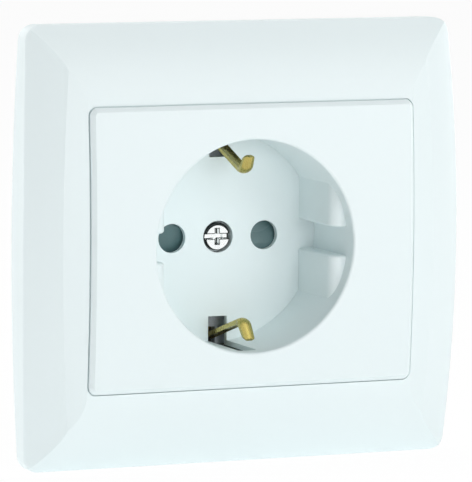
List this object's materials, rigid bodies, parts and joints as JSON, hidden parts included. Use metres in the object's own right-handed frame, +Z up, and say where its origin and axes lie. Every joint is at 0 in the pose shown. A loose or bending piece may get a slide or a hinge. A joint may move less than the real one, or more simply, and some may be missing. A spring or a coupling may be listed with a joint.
{
  "type": "type f wall socket",
  "caption": "Flush wall socket outlet for round two-pin plugs, with a recessed well, side earth clips, pin shutter, support plate and spreading claws.",
  "frame": {"origin": "centre of the support plate's back face, which is also the wall surface and the frame's back plane", "axes": "+Z up, +X right as seen from the room, +Y into the wall, so the front faces -Y"},
  "size_m": [0.0886, 0.044, 0.0832],
  "materials": {
    "white_cover": "glossy moulded thermoplastic, cool white",
    "grey_shutter": "smooth dark grey moulded plastic",
    "insulating_disc": "dark grey moulded plastic",
    "base_moulding": "light grey pressed thermoset",
    "earth_brass": "rolled brass strip",
    "contact_bronze": "rolled bronze strip",
    "bright_screw": "bright nickel plate",
    "plated_steel": "zinc plated sheet",
    "plated_clamp": "zinc plated steel",
    "spring_steel": "spring wire"
  },
  "bodies": {
    "insert": {"cover_frame": "white_cover", "centre_plate": "white_cover", "cover_screw": "bright_screw", "shutter_spring": "spring_steel", "contact_cover": "insulating_disc", "base_housing": "base_moulding", "earth_strap": "earth_brass", "threaded_bush": "earth_brass", "support_plate": "plated_steel", "frame_rivets": "earth_brass", "earth_clamp": "plated_clamp", "earth_screw": "bright_screw", "contact_left": "contact_bronze", "contact_right": "contact_bronze", "claw_screw_left": "bright_screw", "claw_screw_right": "bright_screw", "terminal_clamp_left": "plated_clamp", "terminal_clamp_right": "plated_clamp", "terminal_screw_left": "bright_screw", "terminal_screw_right": "bright_screw"},
    "shutter": {"shutter": "grey_shutter"},
    "claw_nut_left": {"claw_nut_left": "plated_clamp"},
    "claw_left": {"claw_left": "plated_steel"},
    "claw_nut_right": {"claw_nut_right": "plated_clamp"},
    "claw_right": {"claw_right": "plated_steel"}
  },
  "joints": [
    {"name": "shutter_turn", "type": "hinge", "parent": "insert", "child": "shutter", "pos_m": [0, 0.00945, 0], "axis": [0, 1, 0], "range_deg": [0, 36], "stiffness_Nm_per_rad": 0.003, "springref_deg": -28.65, "deforming": ["shutter_spring"]},
    {"name": "claw_left_slide", "type": "slide", "parent": "insert", "child": "claw_nut_left", "axis": [0, -1, 0], "range_m": [0, 0.005]},
    {"name": "claw_left_tilt", "type": "hinge", "parent": "claw_nut_left", "child": "claw_left", "pos_m": [-0.0255, 0.018, 0], "axis": [0, 0, -1], "range_deg": [0, 28]},
    {"name": "claw_right_slide", "type": "slide", "parent": "insert", "child": "claw_nut_right", "axis": [0, -1, 0], "range_m": [0, 0.005]},
    {"name": "claw_right_tilt", "type": "hinge", "parent": "claw_nut_right", "child": "claw_right", "pos_m": [0.0255, 0.018, 0], "axis": [0, 0, 1], "range_deg": [0, 28]}
  ],
  "couplings": [
    {"joint": "claw_left_tilt", "follows": "claw_left_slide", "rad_per_m": 97.5},
    {"joint": "claw_right_tilt", "follows": "claw_right_slide", "rad_per_m": 97.5}
  ]
}
